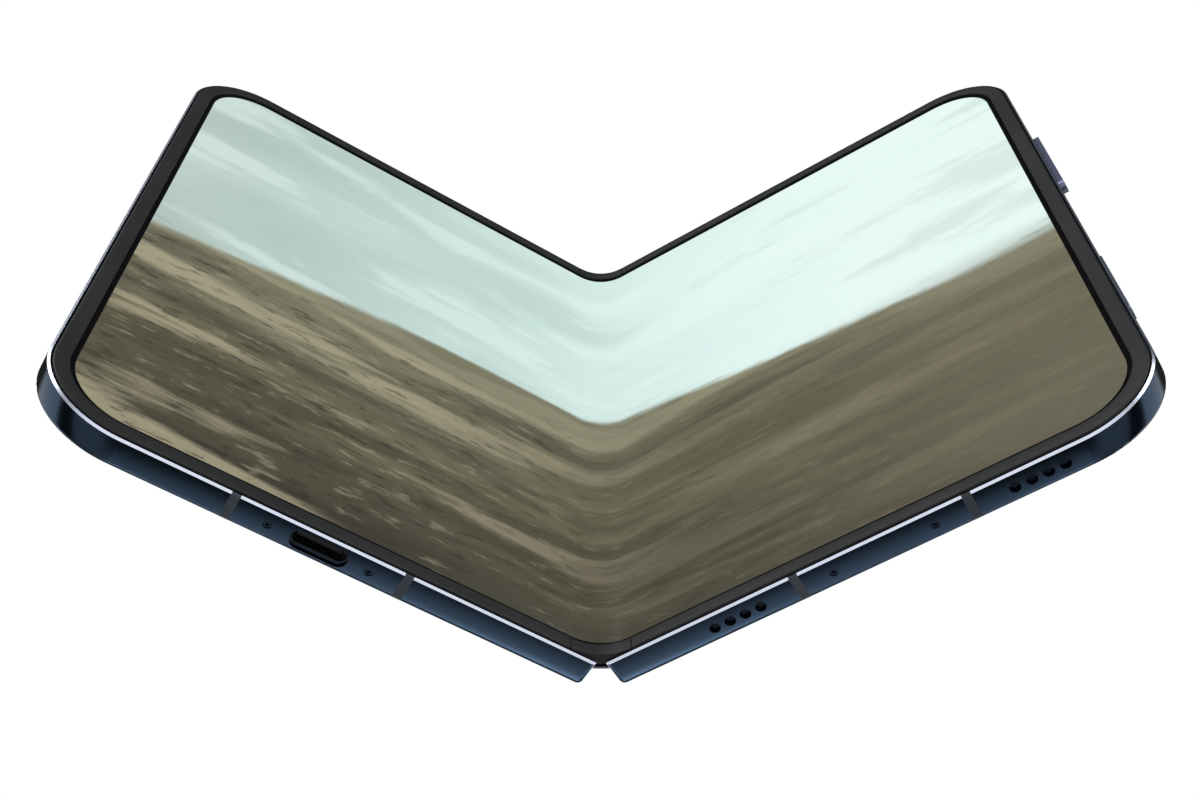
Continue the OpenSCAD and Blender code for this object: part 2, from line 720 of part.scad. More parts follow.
// The gap in a lip of the cover that an arm passes through
module lip_window(dir, z0, w) mirror([dir > 0 ? 0 : 1, 0, 0])
    translate([pivot_x + lip_window_u, 0, z0 - arm_gap]) cube([lip_window_w, window_y, w + 2 * arm_gap]);

module spine_end_caps() color(RIM) for (top = [0, 1]) at_end(top)
    on_spine(spine_z0 + end_cap_in) linear_extrude(end_cap_t) spine_profile(bracket_r, bracket_y);

module hinge_bracket(z) color(METAL) on_spine(z) difference() {
    translate([0, 0, -bracket_half]) linear_extrude(2 * bracket_half) spine_profile(bracket_r, bracket_y);
    for (dir = [-1, 1]) translate([dir * pivot_x, 0, dir > 0 ? arm_z0 - arm_gap : -arm_z0 - arm_w - arm_gap])
        difference() {
            cylinder(r = 2 * spine_r, h = arm_w + 2 * arm_gap);
            translate([0, 0, -1]) cylinder(r = drum_r, h = arm_w + 2);
            translate([-dir * far, 0, arm_w / 2]) difference() {
                cube([2 * far, 2 * far, arm_w + 2], center = true);
                translate([dir * far, 0, 0]) cylinder(r = spine_in_r, h = arm_w + 4, center = true);
            }
        }
    for (dir = [-1, 1]) bracket_screw(dir, close_fit);
}

module bracket_screw(dir, gap = 0) translate([0, bracket_y - gap, dir * (bracket_half - bracket_wall / 2)])
    rotate([-90, 0, 0]) {
        cylinder(r = bracket_screw_r + gap, h = bracket_screw_head_t + gap);
        cylinder(r = bracket_screw_r * 0.6 + gap, h = bracket_screw_l);
    }

module bracket_screws() color(METAL) for (z = HINGE_Z, dir = [-1, 1]) on_spine(z) bracket_screw(dir);
module hinge_bracket_lower() hinge_bracket(HINGE_Z[0]);
module hinge_bracket_middle() hinge_bracket(HINGE_Z[1]);
module hinge_bracket_upper() hinge_bracket(HINGE_Z[2]);

// Hinge arms

function polar(r, a) = [r * cos(a), r * sin(a)];

module wedge(a0, a1) {
    reach = 2 * spine_r;
    polygon(concat([[0, 0]], [for (k = [0:4]) polar(reach, a0 + k * (a1 - a0) / 4)]));
}

module ring_part(r0, r1, a0, a1) intersection() {
    difference() {
        circle(r1);
        circle(r0);
    }
    wedge(a0, a1);
}

// The bar from the shoe's root out to the pad behind the mid-plate
module arm_bar_outline()
    polygon([[bar_root_u, bar_v0], [mid_u - arm_gap, bar_v0], [mid_u - arm_gap, v_mid],
             [bar_end_u, v_mid], [bar_end_u, v_mid + pad_t], [bar_neck_u1, v_mid + pad_t],
             [bar_neck_u0, bar_v1], [bar_root_u + bar_root_step, bar_v1]]);

module arm_pad(z0) difference() {
    tile(pad_u0, pad_u, z0, z0 + pad_l, v_mid, v_mid + pad_t, switch_r);
    arm_screw_bores(z0);
}

module hinge_arm() {
    translate([0, 0, arm_z0]) linear_extrude(arm_w) {
        translate([0, pivot_v]) ring_part(shoe_r0, shoe_r1, shoe_a0, shoe_a1);
        arm_bar_outline();
    }
    arm_pad(arm_z0);
}

// The toothed arm. Tooth spaces sit where the pinion's teeth point at rest; phase moves
// them by part of a tooth for the half whose pinion turns with a space there.
module sector_arm(phase) {
    first = 57;
    last = 162;
    pitch = 360 / ring_teeth;
    start = mesh_angle + rest_fold + (phase + 0.5) * pitch;
    z0 = mesh_w / 2 + arm_gap;
    translate([0, 0, z0]) linear_extrude(sector_w) {
        translate([0, pivot_v]) {
            ring_part(shoe_r0, shoe_r1, shoe_a0, first + 1);
            ring_part(ring_r + tooth_ded, sector_r1, first, last);
            for (k = [-4:6]) if (start + k * pitch > first + 2 && start + k * pitch < last - 2)
                ring_tooth(start + k * pitch);
        }
        arm_bar_outline();
    }
    arm_pad(z0);
}

// A tooth drawn from its widest radius to its tip, with its half width in mm at each
module tooth(a, r0, h0, r1, h1, r2, h2)
    rotate(a) polygon([[r0, -h0], [r1, -h1], [r2, -h2], [r2, h2], [r1, h1], [r0, h0]]);

module ring_tooth(a) tooth(a, ring_r + tooth_ded + tooth_foot, tooth_half + tooth_taper,
                           ring_r, tooth_half, ring_r - tooth_add, tooth_half - tooth_taper);

module pinion(k, first_tooth, z0, z1) on_spine(sync_z)
    translate([pinion_place(k), pinion_y, z0]) linear_extrude(z1 - z0) difference() {
        union() {
            circle(pinion_r - tooth_ded);
            for (i = [0:pinion_teeth - 1]) tooth(first_tooth + i * 360 / pinion_teeth,
                pinion_r - tooth_ded - tooth_foot, tooth_half, pinion_r, tooth_half,
                pinion_r + tooth_add, tooth_half - tooth_taper);
        }
        circle(axle_r + axle_gap);
    }

// Pinions 0 to 3 stand in a row from right to left, in mesh with each other
function pinion_place(k) = (3 - 2 * k) * pinion_r;
module pinion_a() color(METAL) pinion(0, mesh_angle, -mesh_w / 2, sector_z1);
module pinion_b() color(METAL) pinion(1, 180 - mesh_angle - half_pitch, -mesh_w / 2, mesh_w / 2);
module pinion_c() color(METAL) pinion(2, mesh_angle, -mesh_w / 2, mesh_w / 2);
module pinion_d() color(METAL) pinion(3, 180 - mesh_angle - half_pitch, -sector_z1, mesh_w / 2);

module axles(gap, over) for (k = [0:3])
    on_spine(sync_z) translate([pinion_place(k), pinion_y, -plate_z - plate_t - over])
        cylinder(r = axle_r + gap, h = 2 * (plate_z + plate_t + over));

module gear_axles() color(METAL) axles(0, 0);

module gear_plates() color(METAL) difference() {
    for (z = [-plate_z - plate_t, plate_z]) on_spine(sync_z + z)
        linear_extrude(plate_t) spine_profile(bracket_r, bracket_y);
    axles(eps, 1);
}

module hinge_arms(dir) color(METAL) side(dir) {
    at_arms(dir) hinge_arm();
    at_sector(dir) sector_arm(dir > 0 ? 0 : 0.5);
}
module left_hinge_arms() hinge_arms(-1);
module right_hinge_arms() hinge_arms(1);

module arm_screws(dir) color(METAL) side(dir) {
    at_arms(dir) arm_screw_pair(arm_z0);
    at_sector(dir) arm_screw_pair(mesh_w / 2 + arm_gap);
}

module arm_screw_pair(z0) for (z = arm_screw_z) at_depth(arm_screw_u, z0 + z) {
    depth_cylinder(arm_screw_head_r, v_mid + pad_t, v_mid + pad_t + arm_screw_head_t);
    depth_cylinder(arm_screw_r - close_fit, v_floor + 2 * inner_gap, v_mid + pad_t + eps);
}
module left_arm_screws() arm_screws(-1);
module right_arm_screws() arm_screws(1);

// Inside parts

// A flat part that lies on the mid-plate and keeps clear of the rails and their corners
module inside_tile(u0, u1, z0, z1, v1, r) intersection() {
    tile(u0, u1, z0, z1, v_parts, v1, r);
    slab(wall + inner_gap, v_parts - 1, v1 + 1, 0);
}

module at_depth(u, z) translate([u, 0, z]) rotate([-90, 0, 0]) children();
module depth_cylinder(r, v0, v1) translate([0, 0, v0]) cylinder(r = r, h = v1 - v0);

// Inside the left half

module left_battery() color(BATTERY) left_side()
    inside_tile(battery_u0, battery_u1, battery_z0, left_battery_z1, left_battery_v1, part_r);

module charging_board() color(BOARD) left_side()
    inside_tile(port_u - charging_board_in, port_u + charging_board_out,
                port_wall + shell_l + board_gap, low_parts_z, v_parts + board_t, board_r);

module usb_port_shell() color(METAL) left_side() translate([port_u, 0, 0]) difference() {
    slot_prism(shell_w, shell_h, port_wall + inner_gap, port_wall + shell_l);
    slot_prism(shell_inner_w, shell_inner_h, 0, port_wall + shell_l - 0.4);
}

module usb_port_tongue() color(RIM) left_side()
    translate([port_u - tongue_w / 2, v_middle - tongue_t / 2, port_wall + 0.6])
        cube([tongue_w, tongue_t, shell_l - 1]);

module haptic_motor() color(METAL) left_side()
    inside_tile(half_w - wall - haptic_side - haptic_w, half_w - wall - haptic_side, wall + rail_gap,
                low_parts_z, left_battery_v1, part_r);
module earpiece() color(BATTERY) left_side()
    inside_tile(earpiece_u0, earpiece_u0 + earpiece_w, phone_h - top_parts_drop,
                phone_h - wall - rail_gap, left_battery_v1, part_r);
module display_board() color(BOARD) left_side()
    inside_tile(battery_u0, cover_camera_u - cover_camera_r - camera_gap, phone_h - top_parts_drop,
                phone_h - wall - rail_gap, v_parts + board_t, board_r);

module cover_display_panel() color([0.05, 0.06, 0.07]) left_side() difference() {
    slab(wall + panel_gap, v_glass - panel_t, v_glass, panel_u0);
    at_depth(cover_camera_u, cover_camera_z) cylinder(r = cover_camera_r + panel_gap, h = far);
    translate([port_u - shell_w / 2 - panel_port_gap, v_glass - 1, 0])
        cube([shell_w + 2 * panel_port_gap, 2, port_wall + shell_l + panel_port_gap]);
}
module cover_glass() color(GLASS) left_side() slab(lip + glass_gap, v_glass, v_back, bar_u + glass_gap);
module cover_camera() color(BATTERY) left_side() at_depth(cover_camera_u, cover_camera_z)
    depth_cylinder(cover_camera_r, v_parts, v_glass - inner_gap);

// Inside the right half

module at_lenses() for (side = LENSES)
    at_depth(plateau_u + side[0] * lens_pitch / 2, plateau_z + side[1] * lens_pitch / 2) children();

// A square block round a lens, from depth v0 to v1
module lens_block(half, v0, v1) translate([-half, -half, v0]) cube([2 * half, 2 * half, v1 - v0]);

module right_battery() color(BATTERY) right_side()
    inside_tile(battery_u0, battery_u1, battery_z0, right_battery_z1, right_battery_v1, part_r);
module charging_coil() color(GOLD) right_side()
    at_depth((battery_u0 + battery_u1) / 2, (battery_z0 + right_battery_z1) / 2) difference() {
        depth_cylinder(coil_r, right_battery_v1, right_battery_v1 + coil_t);
        depth_cylinder(coil_r0, 0, far);
    }
module main_board() color(BOARD) right_side() difference() {
    inside_tile(board_u0, battery_u1, board_z0, phone_h - wall - rail_gap, v_parts + board_t, part_r);
    at_lenses() lens_block(module_half + module_gap, 0, far);
}
module board_shields() color(METAL) right_side() {
    u0 = board_u0 + shield_gap;
    w = (shield_u1 - u0 - shield_gap) / 2;
    v0 = v_parts + board_t;
    for (u = [u0, u0 + w + shield_gap])
        tile(u, u + w, board_z0 + shield_gap, phone_h - wall - rail_gap - shield_gap, v0, v0 + shield_t,
             shield_r);
}
module camera_modules() color(BATTERY) right_side() at_lenses() {
    lens_block(module_half, v_parts, v_glass - battery_room);
    depth_cylinder(barrel_r, v_glass - 2 * battery_room, v_plateau - lens_sink);
}
module rear_glass() color(GLASS) right_side() difference() {
    slab(lip + glass_gap, v_glass, v_back, bar_u + glass_gap);
    at_lenses() depth_cylinder(barrel_r + 2 * inner_gap, 0, far);
}
module camera_plateau() color(FRAME) right_side() difference() {
    tile(plateau_u - plateau_w / 2, plateau_u + plateau_w / 2, plateau_z - plateau_w / 2,
         plateau_z + plateau_w / 2, v_back, v_plateau, plateau_r);
    at_lenses() depth_cylinder(lens_r + inner_gap, 0, far);
    at_depth(flash_u, flash_z) depth_cylinder(flash_r + inner_gap, v_plateau - flash_t, far);
}
module lens_rings() color(METAL) right_side() at_lenses() difference() {
    depth_cylinder(lens_r + lens_ring_w, v_plateau, v_plateau + lens_ring_h);
    depth_cylinder(lens_r, 0, far);
}
module lens_glasses() color([0.02, 0.03, 0.04]) right_side()
    at_lenses() depth_cylinder(lens_r - close_fit, v_plateau - lens_sink, v_plateau + lens_ring_h - lens_set);
module flash_window() color([0.9, 0.9, 0.8]) right_side()
    at_depth(flash_u, flash_z) depth_cylinder(flash_r, v_plateau - flash_t, v_plateau);

module speaker_box(start) right_side()
    inside_tile(start - speaker_box_margin, start + speaker_row + speaker_box_margin, 0, low_parts_z,
                v_glass - 2 * battery_room, board_r);
module speaker_box_inner() color(BATTERY) speaker_box(SPEAKER_U[0]);
module speaker_box_outer() color(BATTERY) speaker_box(SPEAKER_U[1]);
module speaker_meshes() color(RIM) right_side() for (start = SPEAKER_U)
    translate([start - mesh_margin + inner_gap, v_middle - mesh_h / 2 + inner_gap, mesh_z0])
        cube([speaker_row + 2 * (mesh_margin - inner_gap), mesh_h - 2 * inner_gap, mesh_t]);

spine_cover();
spine_end_caps();
hinge_bracket_lower();
hinge_bracket_middle();
hinge_bracket_upper();
bracket_screws();
gear_plates();
gear_axles();
pinion_a();
pinion_b();
pinion_c();
pinion_d();
display_fold();
display_fold_backing();
fold_caps();
hinge_flex();
left_frame();
left_antenna_breaks();
left_rim();
left_display();
left_support_plate();
left_hinge_arms();
left_arm_screws();
left_battery();
charging_board();
usb_port_shell();
usb_port_tongue();
left_case_screws();
haptic_motor();
earpiece();
display_board();
cover_display_panel();
cover_glass();
cover_camera();
right_frame();
right_antenna_breaks();
right_rim();
right_display();
right_support_plate();
right_hinge_arms();
right_arm_screws();
right_battery();
main_board();
board_shields();
charging_coil();
speaker_box_inner();
speaker_box_outer();
speaker_meshes();
right_case_screws();
rear_glass();
camera_plateau();
lens_rings();
lens_glasses();
camera_modules();
flash_window();
side_key();
side_key_switch();
volume_rocker();
volume_switches();
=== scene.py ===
# %% [markdown]
# A folding phone, half open, standing on its bottom edge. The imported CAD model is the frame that
# everything here is built around: it holds the hinge, the rails, the keys and every inner part at
# their real size. This notebook gives each of them its finish, and makes anew the parts that are
# soft or that bend: the inner display, the rubber rim round it, and the caps and strips across its
# fold. The case screws and the weave of the speakers are made anew too, for their fine detail.

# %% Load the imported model
import json
import math

import bmesh
import bpy
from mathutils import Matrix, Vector


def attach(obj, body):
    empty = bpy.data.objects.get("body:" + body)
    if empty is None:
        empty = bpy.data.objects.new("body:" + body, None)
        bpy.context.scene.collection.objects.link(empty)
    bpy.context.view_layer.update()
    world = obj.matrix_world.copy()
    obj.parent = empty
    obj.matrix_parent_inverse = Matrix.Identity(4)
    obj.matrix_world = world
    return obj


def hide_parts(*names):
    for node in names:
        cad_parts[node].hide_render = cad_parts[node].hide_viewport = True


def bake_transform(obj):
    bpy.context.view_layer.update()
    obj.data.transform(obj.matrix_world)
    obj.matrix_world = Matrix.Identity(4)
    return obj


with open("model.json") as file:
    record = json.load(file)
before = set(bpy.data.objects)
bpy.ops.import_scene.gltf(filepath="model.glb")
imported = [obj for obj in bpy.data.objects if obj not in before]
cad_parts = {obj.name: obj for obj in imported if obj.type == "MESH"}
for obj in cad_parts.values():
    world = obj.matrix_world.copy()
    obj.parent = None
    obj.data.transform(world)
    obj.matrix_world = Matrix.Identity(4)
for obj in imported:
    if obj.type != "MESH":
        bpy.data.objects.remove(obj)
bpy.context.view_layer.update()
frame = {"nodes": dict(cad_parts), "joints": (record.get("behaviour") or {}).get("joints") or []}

SCENE = bpy.context.scene
MM = 0.001

# %% [markdown]
# A half of the phone is easiest to think of laid flat. Its own measures are u, out from the pivot
# line that it folds about, v, the depth below that line, and z, up along the hinge. The pivot line
# and the angle at which the half rests are read from the model's joint, so nothing is typed twice.

# %% Flat measures and the half-open pose
JOINTS = {joint["name"]: joint for joint in frame["joints"]}
REST = math.radians(-JOINTS["right_fold"]["range_deg"][0])
PIVOT = Vector(JOINTS["right_fold"]["pos_m"])
COS, SIN = math.cos(REST), math.sin(REST)
RIGHT, LEFT = 1, -1
SIDES = {RIGHT: "right", LEFT: "left"}


def folded(u, v, z, side, angle=REST):
    """The place in the frame of a flat point (u, v, z) of one half, turned by angle."""
    c, s = math.cos(angle), math.sin(angle)
    return Vector((side * (PIVOT.x + u * c + v * s), PIVOT.y - u * s + v * c, z))


def flat(point, side):
    """The flat measures (u, v, z) of a point of one half."""
    x, y = side * point.x - PIVOT.x, point.y - PIVOT.y
    return Vector((x * COS - y * SIN, x * SIN + y * COS, point.z))


def flat_box(node, side):
    """The lowest and highest flat measures of a CAD node."""
    points = [flat(vertex.co, side) for vertex in frame["nodes"][node].data.vertices]
    return [Vector([pick(p[i] for p in points) for i in range(3)]) for pick in (min, max)]


RAIL = flat_box("right_frame", RIGHT)
RIM = flat_box("right_rim", RIGHT)
HALF_W = RAIL[1].x
PHONE_H = RAIL[1].z
print("half width, height:", round(HALF_W / MM, 2), round(PHONE_H / MM, 2))
print("rim top and foot below the pivot line:", round(RIM[0].y / MM, 2), round(RIM[1].y / MM, 2))

# %% [markdown]
# The picture is taken from below, looking up along the hinge, so that the bottom edge with its
# port comes towards us. The camera stands in front of the phone and under the surface that it
# stands on, and looks up at almost sixty degrees.

# %% Camera
CAMERA_AT = Vector((-0.00015, PIVOT.y - 0.15214, -0.18782))
CAMERA_TILT = 149.695
LENS = 52.066

camera_data = bpy.data.cameras.new("camera")
camera_data.lens = LENS
camera_data.clip_start, camera_data.clip_end = 0.01, 10
camera = bpy.data.objects.new("camera", camera_data)
camera.location = CAMERA_AT
camera.rotation_euler = (math.radians(CAMERA_TILT), 0, 0)
SCENE.collection.objects.link(camera)
SCENE.camera = camera
SCENE.view_settings.view_transform = "Standard"
print("camera to hinge:", round((CAMERA_AT - PIVOT).length / MM), "mm")

# %% [markdown]
# Shader maths reads best as plain maths. `Wire` wraps a socket, so that `1 - mask * 0.5` adds the
# Math nodes for us, and `Shader` makes any other node from its type, its settings and its inputs.

# %% Shader maths
class Wire:
    """A socket of a node tree that can be added, multiplied and compared like a number."""

    def __init__(self, shader, socket):
        self.shader, self.socket = shader, socket

    def math(self, operation, *others):
        return self.shader.node("ShaderNodeMath", {"operation": operation}, self, *others)

    def __add__(self, other):
        return self.math("ADD", other)

    def __sub__(self, other):
        return self.math("SUBTRACT", other)

    def __rsub__(self, other):
        return self * -1 + other

    def __mul__(self, other):
        return self.math("MULTIPLY", other)

    def absolute(self):
        return self.math("ABSOLUTE")

    def least(self, other):
        return self.math("MINIMUM", other)

    def most(self, other):
        return self.math("MAXIMUM", other)

    def rise(self, start, end, low=0.0, high=1.0):
        """Goes smoothly from low to high as the value goes from start to end."""
        return self.shader.node("ShaderNodeMapRange", {"interpolation_type": "SMOOTHSTEP"},
                                self, start, end, low, high)


class Shader:
    """The node tree of a material or the world."""

    def __init__(self, tree):
        self.tree = tree
        tree.nodes.clear()

    def node(self, kind, settings=None, *inputs, out=0, **named):
        """Adds a node, joins its inputs by number or by name, and gives the socket out."""
        made = self.tree.nodes.new(kind)
        for key, value in (settings or {}).items():
            setattr(made, key, value)
        for key, value in [*enumerate(inputs), *named.items()]:
            self.join(made.inputs[key.replace("_", " ") if isinstance(key, str) else key], value)
        return Wire(self, made.outputs[out]) if made.outputs else None

    def join(self, socket, value):
        if isinstance(value, Wire):
            self.tree.links.new(value.socket, socket)
        elif isinstance(value, (tuple, list)) and len(value) == 3 and socket.type == "RGBA":
            socket.default_value = (*value, 1)
        else:
            socket.default_value = value

    def place(self):
        return self.node("ShaderNodeTexCoord", out="Object")

    def uv(self):
        return self.node("ShaderNodeTexCoord", out="UV")

    def parts(self, vector):
        """The x, y and z of a vector."""
        first = self.node("ShaderNodeSeparateXYZ", None, vector)
        return [Wire(self, socket) for socket in first.socket.node.outputs]

    def along(self, vector, direction):
        return self.node("ShaderNodeVectorMath", {"operation": "DOT_PRODUCT"}, vector,
                         tuple(direction), out="Value")

    def stretched(self, vector, scale):
        return self.node("ShaderNodeMapping", None, vector, Scale=tuple(scale))

    def noise(self, vector, scale, detail=4.0, roughness=0.5):
        return self.node("ShaderNodeTexNoise", None, Vector=vector, Scale=scale, Detail=detail,
                         Roughness=roughness)

    def blend(self, mask, below, above):
        made = self.tree.nodes.new("ShaderNodeMix")
        made.data_type = "RGBA"
        self.join(made.inputs["Factor"], mask)
        self.join(made.inputs["A"], below)
        self.join(made.inputs["B"], above)
        return Wire(self, made.outputs["Result"])

    def bump(self, height, strength=1.0, distance=1.0):
        return self.node("ShaderNodeBump", None, Strength=strength, Distance=distance, Height=height)


def paint(red, green, blue):
    """A colour as a screen shows it, 0 to 255, in the linear values that a shader takes."""
    return tuple(((x / 255 + 0.055) / 1.055) ** 2.4 if x > 10 else x / 255 / 12.92
                 for x in (red, green, blue))


def finish(name, build):
    """A material: build(shader) gives the inputs of its Principled shader."""
    material = bpy.data.materials.new(name)
    material.use_nodes = True
    shader = Shader(material.node_tree)
    inputs = build(shader)
    surface = shader.node("ShaderNodeBsdfPrincipled", None, **inputs)
    shader.node("ShaderNodeOutputMaterial", None, surface)
    print("finish", name)
    return material

# %% [markdown]
# The rails are dark blue anodised metal with a high gloss. Their front edge is cut after the metal
# is coloured, so it shines pale. The outer faces of such a rail are very slightly crowned, which
# makes the light run off them in a soft gradient. A bump over the depth v gives that crown, under
# a faint brushed grain.

# %% Rail metal
NAVY = paint(58, 75, 94)
CUT_EDGE = paint(222, 229, 247)
CHAMFER = 0.3 * MM
CUT_BLUR = 0.02 * MM
BACK_EDGE = 0.5 * MM
CROWN = 25.0
BRUSH_SCALE = (500, 500, 4000)
BRUSH_DEPTH = 0.0000004


def rail_metal(side):
    depth_axis = Vector((side * SIN, COS, 0))
    pivot = Vector((side * PIVOT.x, PIVOT.y, 0))

    def build(shader):
        depth = shader.along(shader.place(), depth_axis) - depth_axis.dot(pivot)
        front = RAIL[0].y + CHAMFER
        cut = depth.rise(front + CUT_BLUR, front - CUT_BLUR)
        middle = (front + RAIL[1].y) / 2
        off = depth.least(RAIL[1].y - BACK_EDGE).most(front) - middle
        brushed = shader.noise(shader.stretched(shader.place(), BRUSH_SCALE), 1.0, 3.0)
        return {
            "Base_Color": shader.blend(cut, NAVY, CUT_EDGE),
            "Metallic": 1.0,
            "Roughness": brushed * 0.06 + 0.13 + cut * 0.12,
            "Normal": shader.bump(off * off * -CROWN + brushed * BRUSH_DEPTH),
        }

    return finish(f"rail_metal_{SIDES[side]}", build)


RAIL_METAL = {side: rail_metal(side) for side in SIDES}

# %% [markdown]
# The other finishes are plainer. Each one still has what its real material shows close up: the
# grain of moulded plastic, the fine texture of the soft rim, the lay of brushed steel, and small
# changes of colour and gloss.

# %% Other finishes
def grained(color, other, metallic, roughness, scale=900.0, depth=0.000003, spread=0.08, **more):
    """A finish whose colour and gloss change a little over a fine grain."""
    def build(shader):
        place = shader.place()
        grain = shader.noise(place, scale, 4.0)
        cloud = shader.noise(place, scale / 30, 2.0)
        return {
            "Base_Color": shader.blend(cloud.rise(0.35, 0.65), color, other),
            "Metallic": metallic,
            "Roughness": grain * spread * 2 + (roughness - spread),
            "Normal": shader.bump(grain * depth),
            **more,
        }
    return build


def plain(name, color, other, metallic, roughness, *grain, **more):
    """A grained finish from two screen colours that lie close together."""
    build = grained(paint(*color), paint(*other), metallic, roughness, *grain, **more)
    return finish(name, build)


ANTENNA_PLASTIC = plain("antenna_plastic", (46, 53, 64), (40, 47, 57), 0.0, 0.4)
RIM_RUBBER = plain("rim_rubber", (38, 39, 40), (32, 33, 34), 0.0, 0.5, 1600.0, Specular_IOR_Level=0.25)
SPINE_METAL = plain("spine_metal", (92, 92, 112), (80, 80, 98), 1.0, 0.28)
STEEL = plain("steel", (190, 192, 196), (170, 172, 178), 1.0, 0.3)
SPEAKER_MESH = plain("speaker_mesh", (40, 50, 64), (32, 42, 54), 0.3, 0.5, 3000.0)
SPEAKER_WEAVE = plain("speaker_weave", (128, 142, 160), (108, 122, 140), 0.4, 0.35)
SCREW_METAL = plain("screw_metal", (52, 62, 78), (44, 54, 68), 1.0, 0.35)
KEY_METAL = plain("key_metal", (112, 118, 146), (100, 108, 134), 0.6, 0.3, 2500.0)
GEAR_STEEL = plain("gear_steel", (176, 170, 158), (150, 146, 138), 1.0, 0.35)
BLACK_PLASTIC = plain("black_plastic", (24, 25, 27), (18, 19, 21), 0.0, 0.45)
BATTERY_WRAP = plain("battery_wrap", (30, 31, 34), (40, 41, 45), 0.0, 0.4, 300.0)
BOARD_GREEN = plain("board_green", (18, 62, 44), (24, 74, 52), 0.0, 0.4, 500.0)
COPPER = plain("copper", (206, 140, 90), (190, 120, 74), 1.0, 0.3)
GOLD = plain("gold", (214, 176, 96), (200, 160, 80), 1.0, 0.25)
BACK_GLASS = plain("back_glass", (22, 34, 52), (18, 29, 46), 0.0, 0.3, 2500.0, 0.0000012,
                   Coat_Weight=0.6, Coat_Roughness=0.12)
COVER_GLASS = plain("cover_glass", (7, 8, 10), (9, 10, 13), 0.0, 0.07, 200.0, 0.0000002, 0.02,
                    Coat_Weight=1.0, Coat_Roughness=0.02)
PLATEAU_METAL = plain("plateau_metal", (46, 66, 92), (42, 60, 85), 1.0, 0.3, 2000.0)
LENS_METAL = plain("lens_metal", (120, 136, 160), (104, 120, 146), 1.0, 0.18)
LENS_GLASS = plain("lens_glass", (6, 7, 12), (8, 8, 16), 0.0, 0.05, 200.0, 0.0000001, 0.02,
                   Coat_Weight=1.0, Coat_Roughness=0.01)
FLASH_LENS = plain("flash_lens", (236, 230, 206), (228, 220, 190), 0.0, 0.2, 1500.0)

FINISHES = {
    STEEL: ["left_support_plate", "right_support_plate", "left_arm_screws", "right_arm_screws",
            "left_hinge_arms", "right_hinge_arms", "hinge_bracket_lower", "hinge_bracket_middle",
            "hinge_bracket_upper", "bracket_screws", "gear_plates", "haptic_motor",
            "board_shields", "usb_port_shell"],
    SCREW_METAL: ["left_case_screws", "right_case_screws"],
    KEY_METAL: ["side_key", "volume_rocker"],
    GEAR_STEEL: ["pinion_a", "pinion_b", "pinion_c", "pinion_d", "gear_axles"],
    SPINE_METAL: ["spine_cover"],
    BLACK_PLASTIC: ["spine_end_caps", "usb_port_tongue", "speaker_box_inner", "speaker_box_outer",
                    "earpiece", "cover_display_panel", "camera_modules", "cover_camera"],
    SPEAKER_MESH: ["speaker_meshes"],
    BATTERY_WRAP: ["left_battery", "right_battery"],
    BOARD_GREEN: ["charging_board", "display_board", "main_board"],
    COPPER: ["charging_coil"],
    GOLD: ["side_key_switch", "volume_switches"],
    BACK_GLASS: ["rear_glass"],
    COVER_GLASS: ["cover_glass"],
    PLATEAU_METAL: ["camera_plateau"],
    LENS_METAL: ["lens_rings"],
    LENS_GLASS: ["lens_glasses"],
    FLASH_LENS: ["flash_window"],
    ANTENNA_PLASTIC: ["left_antenna_breaks", "right_antenna_breaks"],
    RAIL_METAL[LEFT]: ["left_frame"],
    RAIL_METAL[RIGHT]: ["right_frame"],
}
for material, nodes in FINISHES.items():
    for node in nodes:
        mesh = frame["nodes"][node].data
        mesh.materials.clear()
        mesh.materials.append(material)
print("finished CAD nodes:", sum(len(nodes) for nodes in FINISHES.values()))

# %% [markdown]
# A mesh in this notebook is made from rows of points. `tube` joins closed rows into faces, `solid`
# turns the mesh into an object that rides on its body, and smooth shading stops at sharp edges.

# %% Mesh helpers
SHARP = math.radians(32)
SOFT_SHARP = math.radians(50)
SAME_POINT = 0.0001 * MM


def tube(bm, rows):
    """Quads between closed rows of points, and a face across each end."""
    grid = [[bm.verts.new(point) for point in row] for row in rows]
    count = len(grid[0])
    for first, second in zip(grid, grid[1:]):
        for j in range(count):
            k = (j + 1) % count
            bm.faces.new((first[j], first[k], second[k], second[j]))
    for row in (grid[0], grid[-1]):
        bm.faces.new(row)


def linked(name, data):
    """An object of the scene that shows a mesh or a lamp."""
    made = bpy.data.objects.new(name, data)
    SCENE.collection.objects.link(made)
    return made


def shaped(name, bm, material, sharp=SHARP):
    """An object from a bmesh, its faces outwards and smooth up to sharp edges."""
    bmesh.ops.recalc_face_normals(bm, faces=bm.faces)
    mesh = bpy.data.meshes.new(name)
    bm.to_mesh(mesh)
    bm.free()
    mesh.polygons.foreach_set("use_smooth", [True] * len(mesh.polygons))
    mesh.set_sharp_from_angle(angle=sharp)
    mesh.materials.append(material)
    return linked(name, mesh)


def solid(name, bm, material, body=None, sharp=SHARP):
    """A visible piece from a bmesh, riding on a body if one is named."""
    bmesh.ops.remove_doubles(bm, verts=bm.verts, dist=SAME_POINT)
    made = shaped(name, bm, material, sharp)
    if body:
        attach(made, body)
    print(f"{name}: {len(made.data.polygons)} faces")
    return made

# %% [markdown]
# The rim and the display follow the half's outline: along the bottom, round a corner, up the outer
# side, round the other corner and back along the top. A station on that outline is a point of it
# and the direction inwards, so a section drawn as distance in and depth can be swept along it.

# %% Outline of a half
CORNER_R = 13 * MM
CORNER_STEPS = 28
RIM_W = 2.3 * MM
RIM_OUT = RIM[0].z
RIM_IN = RIM_OUT + RIM_W


